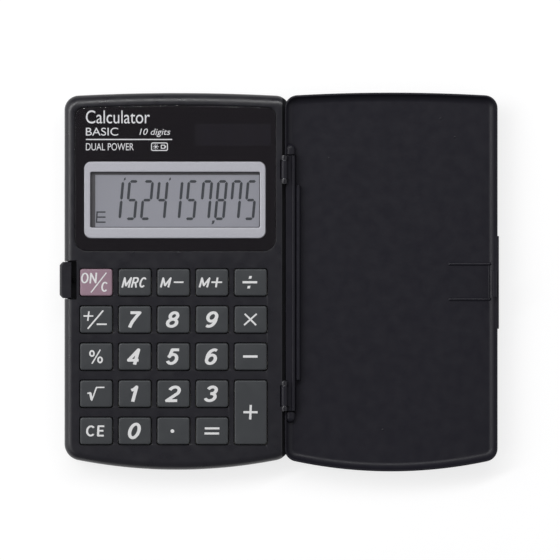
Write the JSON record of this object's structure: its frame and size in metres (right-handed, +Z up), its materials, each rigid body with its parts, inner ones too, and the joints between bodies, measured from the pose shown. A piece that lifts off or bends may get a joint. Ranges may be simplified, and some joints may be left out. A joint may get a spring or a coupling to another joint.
{
  "type": "pocket calculator",
  "caption": "Slim pocket calculator with a flip cover on a side hinge, a display and solar cell under one glossy window, and moulded keys over a rubber keypad.",
  "frame": {"origin": "centre of the lower case's flat underside", "axes": "+X across the keys towards the hinge and the open cover, +Y from the keys towards the display, +Z up out of the key deck"},
  "size_m": [0.1305, 0.1126, 0.0102],
  "materials": {
    "case_plastic": "finely textured black ABS",
    "cover_plastic": "finely textured black ABS",
    "key_plastic": "satin dark grey ABS with white printed legends",
    "clear_key_plastic": "satin mauve ABS with a white printed legend",
    "window_plastic": "clear smoked acrylic",
    "adhesive": "black adhesive sheet",
    "bezel_metal": "satin silver",
    "lcd_glass": "liquid crystal glass, grey",
    "reflector": "diffuse foil",
    "holder_plastic": "natural white plastic",
    "connector_rubber": "striped conductive rubber",
    "solar_glass": "dark amorphous silicon cell",
    "lead_wire": "tinned copper",
    "board": "paper phenolic board",
    "epoxy": "black epoxy",
    "capacitor": "blue sleeve",
    "keypad_rubber": "natural silicone",
    "steel": "plated steel",
    "contact_metal": "phosphor bronze"
  },
  "bodies": {
    "case": {"lower_case": "case_plastic", "upper_case": "case_plastic", "display_window": "window_plastic", "window_adhesive": "adhesive", "display_bezel": "bezel_metal", "lcd_glass": "lcd_glass", "lcd_reflector": "reflector", "lcd_holder": "holder_plastic", "lcd_connector": "connector_rubber", "solar_cell": "solar_glass", "solar_leads": "lead_wire", "circuit_board": "board", "chip_cap": "epoxy", "capacitor": "capacitor", "rubber_keypad": "keypad_rubber", "battery_cell": "steel", "battery_contact_positive": "contact_metal", "battery_contact_negative": "contact_metal", "case_screws": "steel", "board_screws": "steel", "hinge_pin_upper": "steel", "hinge_pin_lower": "steel", "latch_pin": "steel", "latch_spring": "steel"},
    "cover": {"cover": "cover_plastic", "hinge_bar": "cover_plastic"},
    "latch": {"latch_lever": "case_plastic"},
    "key_on_clear": {"key_on_clear": "clear_key_plastic"},
    "key_memory_recall": {"key_memory_recall": "key_plastic"},
    "key_memory_minus": {"key_memory_minus": "key_plastic"},
    "key_memory_plus": {"key_memory_plus": "key_plastic"},
    "key_divide": {"key_divide": "key_plastic"},
    "key_sign": {"key_sign": "key_plastic"},
    "key_7": {"key_7": "key_plastic"},
    "key_8": {"key_8": "key_plastic"},
    "key_9": {"key_9": "key_plastic"},
    "key_multiply": {"key_multiply": "key_plastic"},
    "key_percent": {"key_percent": "key_plastic"},
    "key_4": {"key_4": "key_plastic"},
    "key_5": {"key_5": "key_plastic"},
    "key_6": {"key_6": "key_plastic"},
    "key_minus": {"key_minus": "key_plastic"},
    "key_root": {"key_root": "key_plastic"},
    "key_1": {"key_1": "key_plastic"},
    "key_2": {"key_2": "key_plastic"},
    "key_3": {"key_3": "key_plastic"},
    "key_plus": {"key_plus": "key_plastic"},
    "key_clear_entry": {"key_clear_entry": "key_plastic"},
    "key_0": {"key_0": "key_plastic"},
    "key_point": {"key_point": "key_plastic"},
    "key_equals": {"key_equals": "key_plastic"}
  },
  "joints": [
    {"name": "cover_hinge", "type": "hinge", "parent": "case", "child": "cover", "pos_m": [0.0318, 0, 0.0084], "axis": [0, -1, 0], "range_deg": [0, 180]},
    {"name": "latch_pivot", "type": "hinge", "parent": "case", "child": "latch", "pos_m": [-0.0326, 0, 0.0042], "axis": [0, -1, 0], "range_deg": [0, 10], "stiffness_Nm_per_rad": 0.02, "deforming": ["latch_spring"]},
    {"name": "key_on_clear_press", "type": "slide", "parent": "case", "child": "key_on_clear", "axis": [0, 0, -1], "range_m": [0, 0.0007], "stiffness_N_per_m": 900, "deforming": ["rubber_keypad"]},
    {"name": "key_memory_recall_press", "type": "slide", "parent": "case", "child": "key_memory_recall", "axis": [0, 0, -1], "range_m": [0, 0.0007], "stiffness_N_per_m": 900, "deforming": ["rubber_keypad"]},
    {"name": "key_memory_minus_press", "type": "slide", "parent": "case", "child": "key_memory_minus", "axis": [0, 0, -1], "range_m": [0, 0.0007], "stiffness_N_per_m": 900, "deforming": ["rubber_keypad"]},
    {"name": "key_memory_plus_press", "type": "slide", "parent": "case", "child": "key_memory_plus", "axis": [0, 0, -1], "range_m": [0, 0.0007], "stiffness_N_per_m": 900, "deforming": ["rubber_keypad"]},
    {"name": "key_divide_press", "type": "slide", "parent": "case", "child": "key_divide", "axis": [0, 0, -1], "range_m": [0, 0.0007], "stiffness_N_per_m": 900, "deforming": ["rubber_keypad"]},
    {"name": "key_sign_press", "type": "slide", "parent": "case", "child": "key_sign", "axis": [0, 0, -1], "range_m": [0, 0.0007], "stiffness_N_per_m": 900, "deforming": ["rubber_keypad"]},
    {"name": "key_7_press", "type": "slide", "parent": "case", "child": "key_7", "axis": [0, 0, -1], "range_m": [0, 0.0007], "stiffness_N_per_m": 900, "deforming": ["rubber_keypad"]},
    {"name": "key_8_press", "type": "slide", "parent": "case", "child": "key_8", "axis": [0, 0, -1], "range_m": [0, 0.0007], "stiffness_N_per_m": 900, "deforming": ["rubber_keypad"]},
    {"name": "key_9_press", "type": "slide", "parent": "case", "child": "key_9", "axis": [0, 0, -1], "range_m": [0, 0.0007], "stiffness_N_per_m": 900, "deforming": ["rubber_keypad"]},
    {"name": "key_multiply_press", "type": "slide", "parent": "case", "child": "key_multiply", "axis": [0, 0, -1], "range_m": [0, 0.0007], "stiffness_N_per_m": 900, "deforming": ["rubber_keypad"]},
    {"name": "key_percent_press", "type": "slide", "parent": "case", "child": "key_percent", "axis": [0, 0, -1], "range_m": [0, 0.0007], "stiffness_N_per_m": 900, "deforming": ["rubber_keypad"]},
    {"name": "key_4_press", "type": "slide", "parent": "case", "child": "key_4", "axis": [0, 0, -1], "range_m": [0, 0.0007], "stiffness_N_per_m": 900, "deforming": ["rubber_keypad"]},
    {"name": "key_5_press", "type": "slide", "parent": "case", "child": "key_5", "axis": [0, 0, -1], "range_m": [0, 0.0007], "stiffness_N_per_m": 900, "deforming": ["rubber_keypad"]},
    {"name": "key_6_press", "type": "slide", "parent": "case", "child": "key_6", "axis": [0, 0, -1], "range_m": [0, 0.0007], "stiffness_N_per_m": 900, "deforming": ["rubber_keypad"]},
    {"name": "key_minus_press", "type": "slide", "parent": "case", "child": "key_minus", "axis": [0, 0, -1], "range_m": [0, 0.0007], "stiffness_N_per_m": 900, "deforming": ["rubber_keypad"]},
    {"name": "key_root_press", "type": "slide", "parent": "case", "child": "key_root", "axis": [0, 0, -1], "range_m": [0, 0.0007], "stiffness_N_per_m": 900, "deforming": ["rubber_keypad"]},
    {"name": "key_1_press", "type": "slide", "parent": "case", "child": "key_1", "axis": [0, 0, -1], "range_m": [0, 0.0007], "stiffness_N_per_m": 900, "deforming": ["rubber_keypad"]},
    {"name": "key_2_press", "type": "slide", "parent": "case", "child": "key_2", "axis": [0, 0, -1], "range_m": [0, 0.0007], "stiffness_N_per_m": 900, "deforming": ["rubber_keypad"]},
    {"name": "key_3_press", "type": "slide", "parent": "case", "child": "key_3", "axis": [0, 0, -1], "range_m": [0, 0.0007], "stiffness_N_per_m": 900, "deforming": ["rubber_keypad"]},
    {"name": "key_plus_press", "type": "slide", "parent": "case", "child": "key_plus", "axis": [0, 0, -1], "range_m": [0, 0.0007], "stiffness_N_per_m": 900, "deforming": ["rubber_keypad"]},
    {"name": "key_clear_entry_press", "type": "slide", "parent": "case", "child": "key_clear_entry", "axis": [0, 0, -1], "range_m": [0, 0.0007], "stiffness_N_per_m": 900, "deforming": ["rubber_keypad"]},
    {"name": "key_0_press", "type": "slide", "parent": "case", "child": "key_0", "axis": [0, 0, -1], "range_m": [0, 0.0007], "stiffness_N_per_m": 900, "deforming": ["rubber_keypad"]},
    {"name": "key_point_press", "type": "slide", "parent": "case", "child": "key_point", "axis": [0, 0, -1], "range_m": [0, 0.0007], "stiffness_N_per_m": 900, "deforming": ["rubber_keypad"]},
    {"name": "key_equals_press", "type": "slide", "parent": "case", "child": "key_equals", "axis": [0, 0, -1], "range_m": [0, 0.0007], "stiffness_N_per_m": 900, "deforming": ["rubber_keypad"]}
  ]
}
